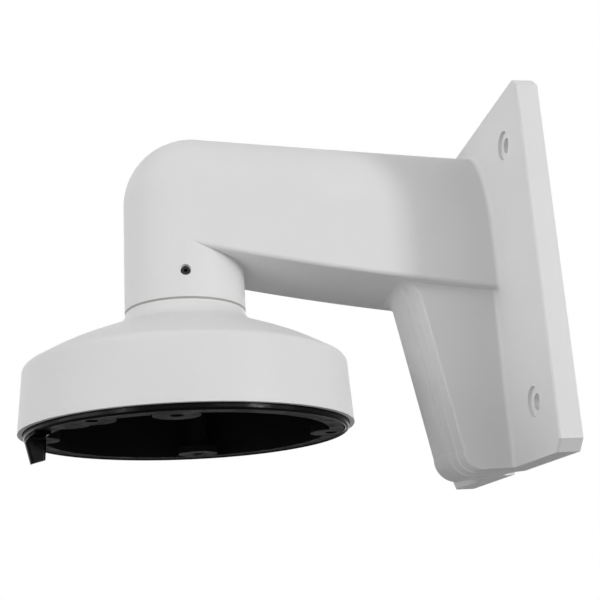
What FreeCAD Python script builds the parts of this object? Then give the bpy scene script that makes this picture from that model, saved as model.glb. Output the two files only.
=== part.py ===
import FreeCAD, Part
import math
import os

os.makedirs("parts", exist_ok=True)
V = FreeCAD.Vector

# Wall bracket for a dome camera. X runs across the wall, Y out of the wall towards -Y, Z up.
# The origin is the middle of the four wall holes, on the wall face of the plate.

# Wall plate
plate_width = 138.0
plate_height = 153.2
plate_thick = 9.4
plate_corner = 4.5
plate_edge = 1.2
plate_rim = 4.0
plate_skin = 4.0
hole_across = 97.0
hole_up = 109.0
wall_hole_radius = 3.25
wall_sink_radius = 6.15
wall_sink_depth = 1.5
wall_boss_radius = 9.0
rib_thick = 2.5

# Arm, bend and neck
reach = 141.6
cast_wall = 3.3
neck_radius = 25.8
bend_offset = 4.6
bend_height = 45.2
arm_half_width = 27.0
arm_rise = 46.0
arm_top = 67.4
under_neck = 20.4
under_middle = 7.3
under_wall = -1.4
under_round = 1.6
plate_fillet = 1.8

# Gusset below the arm: a side face, then three stepped bands round its front and bottom edge
gusset_half_width = 20.5
gusset_front = -43.2
gusset_lean = 0.19
gusset_corner = 6.5
gusset_crook = 9.0
gusset_drop = 0.36
gusset_stations = [(0.0, 4.8), (10.4, 4.3), (10.8, 3.4), (15.4, 2.4)]
gusset_stations += [(15.8, 1.6), (19.8, 0.2), (20.5, -0.7)]
gusset_top = 12.0

# Cable notch in the bottom edge of the plate
notch_half = 6.5
notch_depth = 6.5
notch_round = 5.0

# Cap: a shallow bell that screws into the neck
seam_height = -3.4
cap_height = 51.0
cap_radius = 69.0
cap_draft = 1.3
cap_side = 24.4
shoulder_inset = 3.8
shoulder_height = 27.6
shoulder_bulge = 0.7
dome_inset = 24.0
dome_height = 38.0
dome_bulge = 0.53
cove_width = 8.4
cove_height = 42.5
cove_top = 49.6
cove_bulge = 1.42
cap_neck_radius = 25.6
cap_wall = 3.2
cap_side_wall = 4.7
cap_lip = 2.0
cap_ledge = 3.2
spigot_radius = 20.0
spigot_length = 16.0
spigot_bore = 16.0
thread_clearance = 0.1
seam_groove = 0.45

# Seal ring in the end face of the neck
oring_section = 1.2
oring_seat = 0.05

# Lock screw in the side of the neck
lock_height = 8.4
lock_turn = -1.8
lock_radius = 2.0
lock_length = 4.0
lock_fit = 0.03
lock_mouth_radius = 2.3
lock_mouth_depth = 1.6
lock_socket = 1.0

# Black adapter inside the cap, for the camera's base
ring_drop = 2.2
ring_inset = 10.5
adapter_wall = 2.5
adapter_depth = 24.0
adapter_fit = 0.25
lobe_radius = 9.0
lobe_thick = 3.0
column_radius = 4.6
camera_holes = [(-7.4, 15.0), (89.0, 9.0), (172.6, 18.0), (-86.0, 7.9), (-38.6, 8.5)]
drawn_tab = (-50.0, 7.0)
camera_hole_radius = 2.6
camera_hole_depth = 5.0
camera_pilot_radius = 1.75
camera_pilot_depth = 18.0
cable_hole_radius = 17.0

# Screws through the adapter's top into the cap
hold_count = 3
hold_turn = 30.0
hold_circle = 35.0
hold_boss_radius = 4.5
hold_shank = 2.0
hold_head_radius = 3.7
hold_head_height = 2.4
hold_length = 9.0
hold_clearance = 0.25
hold_cross = 3.6
hold_cross_width = 0.8
hold_cross_depth = 1.4

# Glossy rubber strip round the rim, with its free end hanging out
strip_width = 2.0
strip_proud = 0.4
strip_seat = 1.4
strip_fit = 0.05
strip_side_fit = 0.3
tail_angle = -70.6
tail_inset = 4.9
tail_width = 8.2
tail_end_width = 5.4
tail_thick = 3.4
tail_hang = 13.3
tail_slant = 1.6
tail_lean = 1.0
tail_shoulder = 3.8
tail_knee = 5.6
tail_gap = 0.3
tail_bend = 1.0
tail_root = 9.0

ring_inner = cap_radius - ring_inset
strip_outer = cap_radius - cap_lip - strip_side_fit
strip_inner = strip_outer - strip_width
rim_height = seam_height - cap_height
axis_x = V(1, 0, 0)
axis_z = V(0, 0, 1)


def polygon_face(points):
    return Part.Face(Part.makePolygon(points + [points[0]]))


def across(points, half):
    """Solid between X = -half and X = +half on a Y-Z outline."""
    outline = [V(-half, y, z) for y, z in points]
    return polygon_face(outline).extrude(V(2 * half, 0, 0))


def polar(radius, angle, height):
    a = math.radians(angle)
    return V(radius * math.cos(a), radius * math.sin(a) - reach, height)


def post(radius, low, high, circle=0.0, angle=0.0):
    """Upright cylinder, placed on a circle about the cap's axis."""
    return Part.makeCylinder(radius, high - low, polar(circle, angle, low), axis_z)


def under_z(y):
    """Height of the arm's underside: a parabola through its three named heights."""
    t = -y / reach
    fall = 4 * under_middle - 3 * under_wall - under_neck
    curl = 2 * (under_wall + under_neck - 2 * under_middle)
    return under_wall + fall * t + curl * t * t


def arch_wire(y, half, rise, top, foot):
    """Upright section of the arm: a half ellipse standing on straight sides."""
    spring = top - rise
    q = math.sqrt(0.5)
    poles = [V(half, y, spring), V(half, y, top), V(0, y, top), V(-half, y, top), V(-half, y, spring)]
    curve = Part.BSplineCurve()
    curve.buildFromPolesMultsKnots(poles, [3, 2, 3], [0.0, 1.0, 2.0], False, 2, [1, q, 1, q, 1])
    low = [poles[4], V(-half, y, foot), V(half, y, foot), poles[0]]
    sides = [Part.makeLine(a, b) for a, b in zip(low, low[1:])]
    return Part.Wire([curve.toShape()] + sides)


def is_ridge(edge):
    """True for the long edges between the arm's sides and its underside."""
    box = edge.BoundBox
    return box.YLength > 60 and box.ZMax < under_neck + 6 and box.XLength < 3


def arm_solid(inset, back):
    """Neck, bend and arm as one body; inset gives the cavity inside it."""
    radius = neck_radius - inset
    corner = max(under_round, 0.5 * inset)
    pivot_y = bend_offset - reach
    spread = bend_offset + radius
    top = bend_height + spread

    # Bend: half a disc on a straight strip, turned a quarter turn about the crook's line
    start = V(radius, pivot_y, bend_height)
    rim = V(radius, -reach, bend_height)
    tip = V(0, pivot_y - spread, bend_height)
    edges = [Part.makeLine(start, rim)]
    edges.append(Part.Arc(rim, tip, V(-radius, -reach, bend_height)).toShape())
    edges.append(Part.makeLine(V(-radius, -reach, bend_height), V(-radius, pivot_y, bend_height)))
    edges.append(Part.makeLine(V(-radius, pivot_y, bend_height), start))
    bend = Part.Face(Part.Wire(edges)).revolve(V(0, pivot_y, bend_height), V(-1, 0, 0), 90)
    neck = post(radius, seam_height, bend_height)

    # Arm: one arch at the bend, ruled to a wider and taller one at the wall
    near = arch_wire(pivot_y, radius, radius, top, under_wall - 2)
    span = (back - pivot_y) / -pivot_y
    half = radius + span * (arm_half_width - neck_radius)
    rise = radius + span * (arm_rise - neck_radius)
    crown = top + span * (arm_top - inset - top)
    arm = Part.makeLoft([near, arch_wire(back, half, rise, crown, under_wall - 2)], True, True)

    # Cheeks: the arm's lower part carried on to the middle of the neck
    cheeks = Part.makeBox(2 * radius, bend_offset, bend_height - under_wall, V(-radius, -reach, under_wall))
    beam = arm.fuse(cheeks)

    # Underside: one curved face cut through the beam, its long edges rounded
    low = under_wall - 9
    side = -2 * arm_half_width
    curve = Part.BSplineCurve()
    stops = (-reach - 2, -0.75 * reach, -0.5 * reach, -0.25 * reach, 2)
    curve.interpolate([V(side, y, under_z(y) + inset) for y in stops])
    first = curve.StartPoint
    last = curve.EndPoint
    edges = [curve.toShape(), Part.makeLine(last, V(side, 2, low))]
    edges.append(Part.makeLine(V(side, 2, low), V(side, -reach - 2, low)))
    edges.append(Part.makeLine(V(side, -reach - 2, low), first))
    beam = beam.cut(Part.Face(Part.Wire(edges)).extrude(V(-2 * side, 0, 0))).removeSplitter()
    ridges = [e for e in beam.Edges if is_ridge(e)]
    beam = beam.makeFillet(max(under_round, 0.5 * inset), ridges)
    return neck.fuse([bend, beam])


def gusset_wire(x, grow, top):
    """Side outline of the gusset at one station; grow moves its front edge away from the wall."""
    base = -plate_height / 2
    front = gusset_front - grow
    low = base - gusset_drop * max(grow, 0.0)

    def front_y(z):
        return front + gusset_lean * (under_wall - z)

    # Lower corner, rounded between the leaning front and the bottom
    lean = math.atan(gusset_lean)
    corner = gusset_corner + 0.4 * grow
    span = corner * math.tan((math.pi / 2 + lean) / 2)
    knee = V(x, front_y(low), low)
    along_front = V(0, -math.sin(lean), math.cos(lean))
    tip = knee + along_front * span
    toe = V(x, knee.y + span, low)
    bisector = (along_front + V(0, 1, 0)).normalize()
    depth = corner / math.sin((math.pi / 2 + lean) / 2) - corner
    mid = knee + bisector * depth

    # Crook, rounded between the front and the arm's underside
    crook_z = under_z(front_y(under_z(front))) + 0.15
    crook = V(x, front_y(crook_z), crook_z)
    slope = math.atan(under_z(crook.y - 5) - under_z(crook.y)) / 5
    under = V(0, -math.cos(slope), math.sin(slope))
    turn = under.getAngle(along_front)
    bend = gusset_crook - 1.1 * grow
    sweep = bend * math.tan(turn / 2)
    crook_low = crook - along_front * sweep
    crook_high = crook + under * sweep
    inward = (under - along_front).normalize()
    crook_mid = crook + inward * (bend / math.cos(turn / 2) - bend)

    high = V(x, crook_high.y, top)
    back_high = V(x, 0, top)
    back_low = V(x, 0, base)
    edges = [Part.makeLine(back_low, back_high)]
    edges.append(Part.makeLine(back_high, high))
    edges.append(Part.makeLine(high, crook_high))
    edges.append(Part.Arc(crook_high, crook_mid, crook_low).toShape())
    edges.append(Part.makeLine(crook_low, tip))
    edges.append(Part.Arc(tip, mid, toe).toShape())
    edges.append(Part.makeLine(toe, back_low))
    return Part.Wire(edges)


def plate_solid():
    """Plate with cut corners; its front edges are rounded, apart from the bottom one."""
    half_w = plate_width / 2
    half_h = plate_height / 2
    box = Part.makeBox(plate_width, plate_thick, plate_height, V(-half_w, -plate_thick, -half_h))
    corners = [e for e in box.Edges if abs(e.Vertexes[0].Y - e.Vertexes[1].Y) > 1]
    box = box.makeChamfer(plate_corner, corners)
    front = [e for e in box.Edges if all(abs(v.Y + plate_thick) < 0.01 for v in e.Vertexes)]
    return box.makeFillet(plate_edge, [e for e in front if e.BoundBox.ZMax > 1 - half_h])


def wall_points():
    return [(sx * hole_across / 2, sz * hole_up / 2) for sx in (-1, 1) for sz in (-1, 1)]


def is_joint(point):
    """True for points where the arm or the gusset meets the plate's front."""
    return abs(point.Y + plate_thick) < 0.01 and abs(point.X) < arm_half_width + 2


def is_seam(point):
    """True for points on the neck's lower outer edge."""
    radius = math.hypot(point.X, point.Y + reach)
    return abs(radius - neck_radius) < 0.01 and abs(point.Z - seam_height) < 0.01


def to_lock_side(shape):
    """Turn a shape made on the +X side of the neck to the lock screw's place."""
    shape.rotate(V(0, -reach, 0), axis_z, lock_turn)
    return shape


def arm_casting():
    stations = [(-x, grow) for x, grow in reversed(gusset_stations[1:])] + gusset_stations
    gusset = Part.makeLoft([gusset_wire(x, grow, gusset_top) for x, grow in stations], True, True)
    body = arm_solid(0.0, -plate_thick / 2).fuse([gusset, plate_solid()])
    joint = [e for e in body.Edges if all(is_joint(v) for v in e.Vertexes)]
    joint = [e for e in joint if e.BoundBox.ZMax > 1 - plate_height / 2]
    body = body.makeFillet(plate_fillet, joint)

    # Hollow back of the plate, with a rim, a boss at each hole and two cross ribs
    half_w = plate_width / 2 - plate_rim
    half_h = plate_height / 2 - plate_rim
    depth = plate_thick - plate_skin
    recess = Part.makeBox(2 * half_w, depth + 1, 2 * half_h, V(-half_w, -depth, -half_h))
    upright = [e for e in recess.Edges if abs(e.Vertexes[0].Y - e.Vertexes[1].Y) > 1]
    recess = recess.makeFillet(plate_corner - 2, upright)
    kept = []
    for x, z in wall_points():
        kept.append(Part.makeCylinder(wall_boss_radius, 12, V(x, -11, z), V(0, 1, 0)))
    for z in (-hole_up / 2, hole_up / 2):
        kept.append(Part.makeBox(plate_width, 12, rib_thick, V(-plate_width / 2, -11, z - rib_thick / 2)))
    wall_ring = arch_wire(-11, arm_half_width, arm_rise, arm_top, under_wall)
    kept.append(Part.Face(wall_ring).extrude(V(0, 12, 0)))
    below = V(-gusset_half_width, -11, -plate_height / 2)
    kept.append(Part.makeBox(2 * gusset_half_width, 12, plate_height / 2, below))
    body = body.cut(recess.cut(kept))

    # Cable way: up the neck, round the bend and along the arm to the wall
    hollow = arm_solid(cast_wall, 1.0)
    inner = gusset_half_width - cast_wall
    front_top = gusset_front + cast_wall
    front_low = front_top + gusset_lean * (plate_height / 2 + under_wall - cast_wall)
    floor = -plate_height / 2 + cast_wall
    roof = under_wall + gusset_top
    well = across([(1, roof), (front_top - 2.2, roof), (front_low, floor), (1, floor)], inner)
    rounded = [e for e in well.Edges if abs(e.Vertexes[0].X - e.Vertexes[1].X) > 1 and e.Vertexes[0].Y < -5]
    well = well.makeFillet(4.0, rounded)
    body = body.cut([hollow, well])

    # The neck is thicker at its mouth, and tapped for the cap
    mouth_top = seam_height + spigot_length + 2.0
    collar = post(neck_radius - 0.5, seam_height, mouth_top)
    body = body.fuse(collar.cut(post(spigot_radius + thread_clearance, -90, 90)))
    groove = post(spigot_radius + 2 * oring_section, seam_height - 1, seam_height + 2 * oring_section)
    body = body.cut(groove)

    # Wall holes, lock screw hole and cable notch
    cuts = []
    for x, z in wall_points():
        cuts.append(Part.makeCylinder(wall_hole_radius, 20, V(x, -15, z), V(0, 1, 0)))
        mouth = V(x, wall_sink_depth - plate_thick - 10, z)
        cuts.append(Part.makeCylinder(wall_sink_radius, 10, mouth, V(0, 1, 0)))
    start = V(spigot_radius - 2, -reach, lock_height)
    tapped = Part.makeCylinder(lock_radius + lock_fit, 12, start, axis_x)
    mouth_x = neck_radius - lock_mouth_depth
    mouth = Part.makeCylinder(lock_mouth_radius, 6, V(mouth_x, -reach, lock_height), axis_x)
    cuts += [to_lock_side(tapped), to_lock_side(mouth)]
    notch_start = V(-notch_half, -notch_depth, -plate_height / 2 - 3)
    notch = Part.makeBox(2 * notch_half, notch_depth + 1, 9, notch_start)
    soft = [e for e in notch.Edges if abs(e.Vertexes[0].Z - e.Vertexes[1].Z) > 1 and e.Vertexes[0].Y < 0]
    cuts.append(notch.makeFillet(notch_round, soft))
    body = body.cut(cuts)
    seam = [e for e in body.Edges if e.BoundBox.ZLength < 0.01 and all(is_seam(v) for v in e.Vertexes)]
    return body.makeChamfer(seam_groove, seam)


def bowed(a, b, bulge):
    """Arc between two profile points (radius, height), its middle pushed out from the chord."""
    start = V(a[0], 0, a[1])
    end = V(b[0], 0, b[1])
    out = V(b[1] - a[1], 0, a[0] - b[0]).normalize()
    return Part.Arc(start, (start + end) * 0.5 + out * bulge, end).toShape()


def cap_outline():
    """Outer profile of the cap, from its rim up to the neck."""
    side = (cap_radius - cap_draft, cap_side)
    shoulder = (cap_radius - shoulder_inset, shoulder_height)
    dome = (cap_radius - dome_inset, dome_height)
    cove = (cap_neck_radius + cove_width, cove_height)
    neck = (cap_neck_radius, cove_top)
    top = (cap_neck_radius, cap_height - seam_groove)
    flank = lines([(cap_radius, 0), side])
    slope = lines([dome, cove])
    arcs = [bowed(side, shoulder, shoulder_bulge), bowed(shoulder, dome, dome_bulge)]
    return flank + arcs + slope + [bowed(cove, neck, -cove_bulge)] + lines([neck, top])


def placed(shape):
    """Move a shape drawn about the Z axis, with the rim at zero, to the cap's place."""
    shape.translate(V(0, -reach, rim_height))
    return shape


def revolve_profile(edges):
    return placed(Part.Face(Part.Wire(edges)).revolve(V(0, 0, 0), axis_z, 360))


def lines(points):
    return [Part.makeLine(V(a[0], 0, a[1]), V(b[0], 0, b[1])) for a, b in zip(points, points[1:])]


def cap_casting():
    edges = cap_outline()
    inner = [
        (cap_neck_radius, cap_height - seam_groove),
        (cap_neck_radius - seam_groove, cap_height),
        (spigot_radius, cap_height),
        (spigot_radius, cap_height + spigot_length - 1),
        (spigot_radius - 1, cap_height + spigot_length),
        (spigot_bore, cap_height + spigot_length),
        (spigot_bore, cove_height - cap_wall),
        (cap_neck_radius + cove_width - 2.0, cove_height - cap_wall),
        (cap_radius - dome_inset - 1.0, dome_height - cap_wall),
        (cap_radius - cap_side_wall - 0.7, shoulder_height - cap_wall),
        (cap_radius - cap_side_wall, cap_ledge),
        (cap_radius - cap_lip, cap_ledge),
        (cap_radius - cap_lip, 0),
        (cap_radius, 0),
    ]
    cap = revolve_profile(edges + lines(inner))
    bosses = []
    bores = []
    seat = rim_height + adapter_depth
    roof = rim_height + cove_height - cap_wall + 0.4
    for i in range(hold_count):
        angle = hold_turn + i * 360.0 / hold_count
        bosses.append(post(hold_boss_radius, seat, roof, hold_circle, angle))
        bores.append(post(hold_shank, seat - 1, seat + hold_length - 1.0, hold_circle, angle))
    return cap.fuse(bosses).cut(bores)


def adapter():
    outer = cap_radius - cap_lip - adapter_fit
    seat = strip_inner - strip_side_fit
    cup = ring_inner + adapter_wall
    profile = [
        (ring_inner, -ring_drop),
        (seat, -ring_drop),
        (seat, strip_seat),
        (outer, strip_seat),
        (outer, cap_ledge),
        (cup, cap_ledge),
        (cup, adapter_depth - 2.0),
        (cup - 2.0, adapter_depth),
        (cable_hole_radius, adapter_depth),
        (cable_hole_radius, adapter_depth - adapter_wall),
        (ring_inner, adapter_depth - adapter_wall),
        (ring_inner, -ring_drop),
    ]
    body = revolve_profile(lines(profile))
    face = rim_height - ring_drop
    roof = rim_height + adapter_depth - 0.5
    inside = post(seat - 1.2, face, roof)
    tabs = []
    holes = []
    for angle, inset in camera_holes + [drawn_tab]:
        tabs.append(post(lobe_radius, face, face + lobe_thick, cap_radius - inset, angle).common(inside))
    for angle, inset in camera_holes:
        circle = cap_radius - inset
        tabs.append(post(column_radius, face + 1, roof, circle, angle).common(inside))
        holes.append(post(camera_hole_radius, face - 1, face + camera_hole_depth, circle, angle))
        holes.append(post(camera_pilot_radius, face, face + camera_pilot_depth, circle, angle))
    for i in range(hold_count):
        angle = hold_turn + i * 360.0 / hold_count
        holes.append(post(hold_shank + hold_clearance, roof - 6, roof + 2, hold_circle, angle))
    return body.fuse(tabs).cut(holes)


def runs_along(edge):
    """True for the long edges of the tail's hanging part, on either side of it."""
    box = edge.BoundBox
    return box.ZLength > tail_thick + 0.5 and box.YLength < 0.5 * box.ZLength


def rim_strip():
    top = strip_seat - strip_fit
    bottom = -ring_drop - strip_proud
    low = bottom + strip_width / 2
    edges = lines([(strip_outer, low), (strip_outer, top), (strip_inner, top), (strip_inner, low)])
    middle = V((strip_inner + strip_outer) / 2, 0, bottom)
    edges.append(Part.Arc(V(strip_inner, 0, low), middle, V(strip_outer, 0, low)).toShape())
    ring = revolve_profile(edges)

    # Free end: leaves the groove along the rim, then hangs down and narrows
    half = tail_width / 2
    high = -tail_gap
    low = high - tail_thick
    bend = tail_thick + tail_bend
    fold = high - bend
    q = math.sqrt(0.5)
    root_high = V(-tail_root, -half, high)
    root_low = V(-tail_root, -half, low)
    outer_mid = V(bend * (q - 1), -half, fold + bend * q)
    inner_mid = V(-bend + tail_bend * q, -half, fold + tail_bend * q)
    outer = [V(-bend, -half, high), outer_mid, V(0, -half, fold)]
    inner = [V(-tail_thick, -half, fold), inner_mid, V(-bend, -half, low)]
    end_front = V(0, -half, -tail_hang - tail_slant)
    end_back = V(-tail_thick, -half, -tail_hang - tail_slant)
    edges = [Part.makeLine(root_high, outer[0]), Part.Arc(*outer).toShape()]
    edges += [Part.makeLine(outer[2], end_front), Part.makeLine(end_front, end_back)]
    edges += [Part.makeLine(end_back, inner[0]), Part.Arc(*inner).toShape()]
    edges += [Part.makeLine(inner[2], root_low), Part.makeLine(root_low, root_high)]
    tail = Part.Face(Part.Wire(edges)).extrude(V(0, tail_width, 0))
    end = tail_end_width / 2
    taper = [
        V(-10, -half, 0),
        V(-10, half - tail_shoulder, 0),
        V(-10, half, -tail_knee),
        V(-10, end - tail_lean, -tail_hang - tail_slant / 2),
        V(-10, -end - tail_lean, -tail_hang + tail_slant / 2),
    ]
    tail = tail.common(polygon_face(taper).extrude(V(11, 0, 0)))
    tail = tail.makeFillet(0.3 * tail_thick, [e for e in tail.Edges if runs_along(e)])
    tail.rotate(V(0, 0, 0), axis_z, tail_angle - 90)
    tail.translate(polar(cap_radius - tail_inset, tail_angle, rim_height))
    above_ring = post(strip_inner, rim_height - ring_drop - strip_fit, rim_height + 9)
    return ring.fuse(tail.cut(above_ring))


def neck_oring():
    centre = spigot_radius + oring_section
    ring = Part.makeTorus(centre, oring_section - oring_seat, V(0, 0, 0), axis_z, 0, 360, 360)
    ring.translate(V(0, -reach, seam_height + oring_section - oring_seat))
    return ring


def lock_screw():
    tip = spigot_radius
    body = Part.makeCylinder(lock_radius, lock_length, V(tip, -reach, lock_height), axis_x)
    rims = [e for e in body.Edges if e.Curve.TypeId == "Part::GeomCircle"]
    body = body.makeChamfer(0.4, rims)
    corners = []
    for i in range(7):
        a = math.radians(60 * i)
        side = lock_socket * math.cos(a) - reach
        corners.append(V(tip + lock_length - 2.0, side, lock_socket * math.sin(a) + lock_height))
    socket = Part.Face(Part.makePolygon(corners)).extrude(V(3, 0, 0))
    return to_lock_side(body.cut(socket))


def adapter_screws():
    screws = []
    under = rim_height + adapter_depth - adapter_wall
    for i in range(hold_count):
        angle = hold_turn + i * 360.0 / hold_count
        head = post(hold_head_radius, under - hold_head_height, under, hold_circle, angle)
        rim = [e for e in head.Edges if e.BoundBox.ZMax < under - hold_head_height + 0.01]
        head = head.makeFillet(1.2, rim)
        shank = post(hold_shank - 0.02, under - 0.5, under + hold_length, hold_circle, angle)
        screw = head.fuse(shank)
        half = hold_cross / 2
        thin = hold_cross_width / 2
        bar = Part.makeBox(2 * half, 2 * thin, hold_cross_depth, V(-half, -thin, 0))
        cross = bar.fuse(Part.makeBox(2 * thin, 2 * half, hold_cross_depth, V(-thin, -half, 0)))
        cross.translate(polar(hold_circle, angle, under - hold_head_height))
        screws.append(screw.cut(cross))
    return Part.makeCompound(screws)


pieces = {
    "arm_casting": arm_casting,
    "cap_casting": cap_casting,
    "camera_adapter": adapter,
    "rim_strip": rim_strip,
    "neck_oring": neck_oring,
    "lock_screw": lock_screw,
    "adapter_screws": adapter_screws,
}

for name, build in pieces.items():
    shape = build()
    if len(shape.Solids) == 1:
        shape = shape.Solids[0]
    shape = shape.removeSplitter()
    print(name, "solids", len(shape.Solids), "valid", shape.isValid(), "volume", round(shape.Volume))
    shape.exportStep("parts/" + name + ".step")
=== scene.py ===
import math
import bpy
from mathutils import Matrix, Vector

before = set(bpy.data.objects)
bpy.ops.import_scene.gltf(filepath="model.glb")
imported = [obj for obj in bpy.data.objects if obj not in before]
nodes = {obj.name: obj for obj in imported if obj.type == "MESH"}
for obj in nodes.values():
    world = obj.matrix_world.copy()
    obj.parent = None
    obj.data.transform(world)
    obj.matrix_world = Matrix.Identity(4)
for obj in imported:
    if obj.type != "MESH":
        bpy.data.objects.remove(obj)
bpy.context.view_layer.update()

scene = bpy.context.scene

# Camera, at the photo's viewing angle: from the right, below, nearly along the wall
AZIMUTH = math.radians(80.515)
ELEVATION = math.radians(-15.91)
ROLL = math.radians(-3.372)
DISTANCE = 0.460177
AIM = Vector((0, -0.080, 0.0056))
SLIDE_RIGHT = -0.011218
SLIDE_UP = -0.003404
LENS = 62.64
SENSOR_WIDTH = 36
NEAREST = 0.01
FARTHEST = 20

# White coat, and the painted shade that darkens it in the seam between cap and neck
COAT = (0.73, 0.735, 0.73)
SEAM_PAINTED_SHADE = (0.50, 0.50, 0.49)

# The seam: its axis out from the wall, a radius that just holds it, its height, half its width
SEAM_OUT = 0.1416
SEAM_RADIUS = 0.0262
SEAM_HEIGHT = -0.0034
SEAM_HALF_WIDTH = 0.0005

# Surround and floor: white as a background, dim as a light
WHITE = (1, 1, 1, 1)
BACKGROUND_STRENGTH = 1.0
ROOM_STRENGTH = 0.135
FLOOR_REACH = 4.0
FLOOR_HEIGHT = -0.55
FLOOR_COLOR = (0.45, 0.45, 0.45)
FLOOR_GLOW = 0.96
FLOOR_GLOW_SHARE = 0.88

# Lamps, in metres and watts, all turned to the arm's middle
LAMP_AIM = Vector((0, -0.08, 0))
LARGE = 1.4
MEDIUM = 1.2
SMALL = 0.35


def place_camera():
    level_reach = math.cos(ELEVATION)
    back = Vector((
        math.sin(AZIMUTH) * level_reach,
        -math.cos(AZIMUTH) * level_reach,
        math.sin(ELEVATION),
    ))
    level = (-back).cross(Vector((0, 0, 1))).normalized()
    steep = level.cross(-back)
    right = level * math.cos(ROLL) + steep * math.sin(ROLL)
    up = steep * math.cos(ROLL) - level * math.sin(ROLL)
    eye = AIM + back * DISTANCE + right * SLIDE_RIGHT + up * SLIDE_UP
    camera = bpy.data.objects.new("camera", bpy.data.cameras.new("camera"))
    scene.collection.objects.link(camera)
    turn = Matrix((right, up, back)).transposed().to_4x4()
    camera.matrix_world = Matrix.Translation(eye) @ turn
    camera.data.sensor_width = SENSOR_WIDTH
    camera.data.lens = LENS
    camera.data.clip_start = NEAREST
    camera.data.clip_end = FARTHEST
    scene.camera = camera


def material(name, color, roughness, specular=0.5):
    m = bpy.data.materials.new(name)
    m.use_nodes = True
    shader = m.node_tree.nodes["Principled BSDF"]
    shader.inputs["Base Color"].default_value = (*color, 1)
    shader.inputs["Roughness"].default_value = roughness
    shader.inputs["Specular IOR Level"].default_value = specular
    return m, m.node_tree, shader


def noise(tree, scale, detail, offset=(0, 0, 0)):
    """Noise in the object's own coordinates, in metres."""
    where = tree.nodes.new("ShaderNodeTexCoord")
    shift = tree.nodes.new("ShaderNodeVectorMath")
    shift.operation = "ADD"
    shift.inputs[1].default_value = offset
    tree.links.new(where.outputs["Object"], shift.inputs[0])
    n = tree.nodes.new("ShaderNodeTexNoise")
    n.inputs["Scale"].default_value = scale
    n.inputs["Detail"].default_value = detail
    tree.links.new(shift.outputs[0], n.inputs["Vector"])
    return n.outputs["Fac"]


def spread(tree, source, low, high):
    """Maps the middle of a noise's range to low..high."""
    m = tree.nodes.new("ShaderNodeMapRange")
    m.inputs["From Min"].default_value = 0.35
    m.inputs["From Max"].default_value = 0.65
    m.inputs["To Min"].default_value = low
    m.inputs["To Max"].default_value = high
    tree.links.new(source, m.inputs["Value"])
    return m.outputs["Result"]


def calc(tree, kind, *values):
    """A math node over sockets and numbers."""
    n = tree.nodes.new("ShaderNodeMath")
    n.operation = kind
    for socket, value in zip(n.inputs, values):
        if isinstance(value, (int, float)):
            socket.default_value = value
        else:
            tree.links.new(value, socket)
    return n.outputs[0]


def uneven_gloss(tree, shader, grain, low, high):
    tree.links.new(spread(tree, grain, low, high), shader.inputs["Roughness"])


def bump(tree, shader, height, distance):
    b = tree.nodes.new("ShaderNodeBump")
    b.inputs["Distance"].default_value = distance
    tree.links.new(height, b.inputs["Height"])
    tree.links.new(b.outputs["Normal"], shader.inputs["Normal"])


def in_seam(tree):
    """1 inside the fine groove between cap and neck, else 0."""
    where = tree.nodes.new("ShaderNodeTexCoord")
    part = tree.nodes.new("ShaderNodeSeparateXYZ")
    tree.links.new(where.outputs["Object"], part.inputs[0])
    across = part.outputs["X"]
    along = calc(tree, "ADD", part.outputs["Y"], SEAM_OUT)
    square_across = calc(tree, "MULTIPLY", across, across)
    square_along = calc(tree, "MULTIPLY", along, along)
    radius = calc(tree, "SQRT", calc(tree, "ADD", square_across, square_along))
    offset = calc(tree, "SUBTRACT", part.outputs["Z"], SEAM_HEIGHT)
    near = calc(tree, "LESS_THAN", calc(tree, "ABSOLUTE", offset), SEAM_HALF_WIDTH)
    inside = calc(tree, "LESS_THAN", radius, SEAM_RADIUS)
    return calc(tree, "MULTIPLY", near, inside)


def powder_coat():
    """White satin powder coat: a fine orange peel, faintly uneven in tone, with painted shade
    darkening the seam groove.
    """
    m, tree, shader = material("white_coat", COAT, 0.42, 0.12)
    full = tree.nodes.new("ShaderNodeMix")
    full.data_type = "RGBA"
    full.blend_type = "MULTIPLY"
    full.inputs["Factor"].default_value = 1
    full.inputs[6].default_value = (*COAT, 1)
    tree.links.new(spread(tree, noise(tree, 18, 3), 0.985, 1.015), full.inputs[7])
    # Painted shade: the groove between cap and neck is darkened in the colour, standing for the
    # shade that falls in it
    seam_shade_mix = tree.nodes.new("ShaderNodeMix")
    seam_shade_mix.data_type = "RGBA"
    seam_shade_mix.inputs[7].default_value = (*SEAM_PAINTED_SHADE, 1)
    tree.links.new(in_seam(tree), seam_shade_mix.inputs["Factor"])
    tree.links.new(full.outputs[2], seam_shade_mix.inputs[6])
    tree.links.new(seam_shade_mix.outputs[2], shader.inputs["Base Color"])
    uneven_gloss(tree, shader, noise(tree, 240, 2, offset=(1, 2, 3)), 0.38, 0.48)
    bump(tree, shader, noise(tree, 900, 2), 0.00006)
    return m


def black_plastic():
    """Moulded black plastic with a fine spark-eroded grain."""
    m, tree, shader = material("black_plastic", (0.008, 0.008, 0.0085), 0.42, 0.04)
    uneven_gloss(tree, shader, noise(tree, 150, 3), 0.36, 0.5)
    bump(tree, shader, noise(tree, 2600, 1), 0.00003)
    return m


def black_rubber():
    """Extruded black rubber, glossy, with faint unevenness."""
    m, tree, shader = material("black_rubber", (0.001, 0.001, 0.001), 0.15, 0.08)
    uneven_gloss(tree, shader, noise(tree, 300, 2), 0.12, 0.18)
    bump(tree, shader, noise(tree, 700, 2), 0.00004)
    return m


def steel(name, color, roughness):
    m, tree, shader = material(name, color, roughness)
    shader.inputs["Metallic"].default_value = 1
    uneven_gloss(tree, shader, noise(tree, 600, 2), roughness - 0.08, roughness + 0.08)
    return m


def dress(node, m):
    for slot in nodes[node].material_slots:
        slot.link = "OBJECT"
        slot.material = m


def rays(tree, *kinds):
    """1 for rays of the kinds given, else 0."""
    path = tree.nodes.new("ShaderNodeLightPath")
    chosen = path.outputs[kinds[0]]
    for kind in kinds[1:]:
        chosen = calc(tree, "MAXIMUM", chosen, path.outputs[kind])
    return chosen


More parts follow.
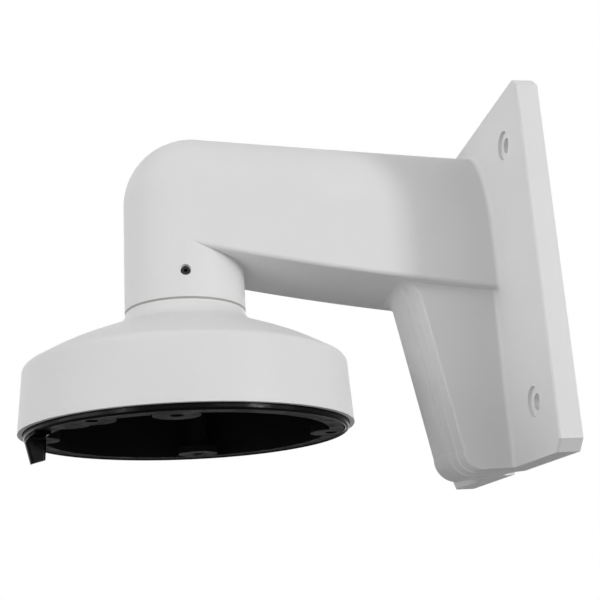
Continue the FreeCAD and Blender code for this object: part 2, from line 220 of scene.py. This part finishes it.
def white_light(tree, kind, strength):
    n = tree.nodes.new(kind)
    n.inputs["Color"].default_value = WHITE
    n.inputs["Strength"].default_value = strength
    return n.outputs[0]


def blend(tree, share, one, other, surface):
    """Shows other in the share given, and one in the rest."""
    mix = tree.nodes.new("ShaderNodeMixShader")
    tree.links.new(share, mix.inputs["Fac"])
    tree.links.new(one, mix.inputs[1])
    tree.links.new(other, mix.inputs[2])
    tree.links.new(mix.outputs[0], surface)


def add_surround():
    world = bpy.data.worlds.new("surround")
    scene.world = world
    world.use_nodes = True
    tree = world.node_tree
    tree.nodes.clear()
    out = tree.nodes.new("ShaderNodeOutputWorld")
    room = white_light(tree, "ShaderNodeBackground", ROOM_STRENGTH)
    plain = white_light(tree, "ShaderNodeBackground", BACKGROUND_STRENGTH)
    shown = rays(tree, "Is Camera Ray", "Is Glossy Ray", "Is Transmission Ray")
    blend(tree, shown, room, plain, out.inputs["Surface"])


def add_floor():
    """A plain floor far below, paler to the camera than in the black ring that mirrors it."""
    mesh = bpy.data.meshes.new("floor")
    signs = ((-1, -1), (1, -1), (1, 1), (-1, 1))
    corners = [(x * FLOOR_REACH, y * FLOOR_REACH, FLOOR_HEIGHT) for x, y in signs]
    mesh.from_pydata(corners, [], [(0, 1, 2, 3)])
    floor = bpy.data.objects.new("floor", mesh)
    scene.collection.objects.link(floor)
    paint, tree, shader = material("floor_paint", FLOOR_COLOR, 0.9, 0.1)
    mesh.materials.append(paint)
    glow = white_light(tree, "ShaderNodeEmission", FLOOR_GLOW)
    seen = rays(tree, "Is Camera Ray", "Is Transmission Ray")
    share = calc(tree, "MULTIPLY", seen, FLOOR_GLOW_SHARE)
    surface = tree.nodes["Material Output"].inputs["Surface"]
    blend(tree, share, shader.outputs[0], glow, surface)


def add_lamp(name, place, size, power):
    light = bpy.data.lights.new(name, "AREA")
    light.shape = "SQUARE"
    light.size = size
    light.energy = power
    lamp = bpy.data.objects.new(name, light)
    scene.collection.objects.link(lamp)
    lamp.location = place
    lamp.rotation_euler = (LAMP_AIM - Vector(place)).to_track_quat("-Z", "Y").to_euler()
    return lamp


place_camera()
scene.view_settings.view_transform = "Standard"

coat = powder_coat()
rubber = black_rubber()
dress("arm_casting", coat)
dress("cap_casting", coat)
dress("camera_adapter", black_plastic())
dress("rim_strip", rubber)
dress("neck_oring", rubber)
dress("lock_screw", steel("dark_steel", (0.05, 0.05, 0.05), 0.45))
dress("adapter_screws", steel("bright_steel", (0.5, 0.5, 0.5), 0.35))

add_surround()
add_floor()

# Large soft lamps: two on the wall side, two in front, one above
add_lamp("lamp_wall_high", (1.6, 0.9, 0.9), LARGE, 12.4)
add_lamp("lamp_wall_low", (1.2, 1.5, 0.1), LARGE, 6.8)
add_lamp("lamp_front_high", (0.3, -1.9, 0.8), LARGE, 13.9)
add_lamp("lamp_front_low", (1.0, -1.7, 0.0), LARGE, 6.7)
add_lamp("lamp_above", (0.0, -0.3, 1.9), LARGE, 2.9)

# Small lamps, for the short highlights on the glossy strip
add_lamp("lamp_wall_small", (1.55, 1.40, 0.15), SMALL, 12.5)
add_lamp("lamp_front_small", (1.45, -1.70, 0.1), SMALL, 5.3)

# Lamp for the far side, which leaves no highlight on the strip
lamp_far = add_lamp("lamp_far", (-1.65, 1.25, 0.5), MEDIUM, 11.0)
lamp_far.visible_glossy = False
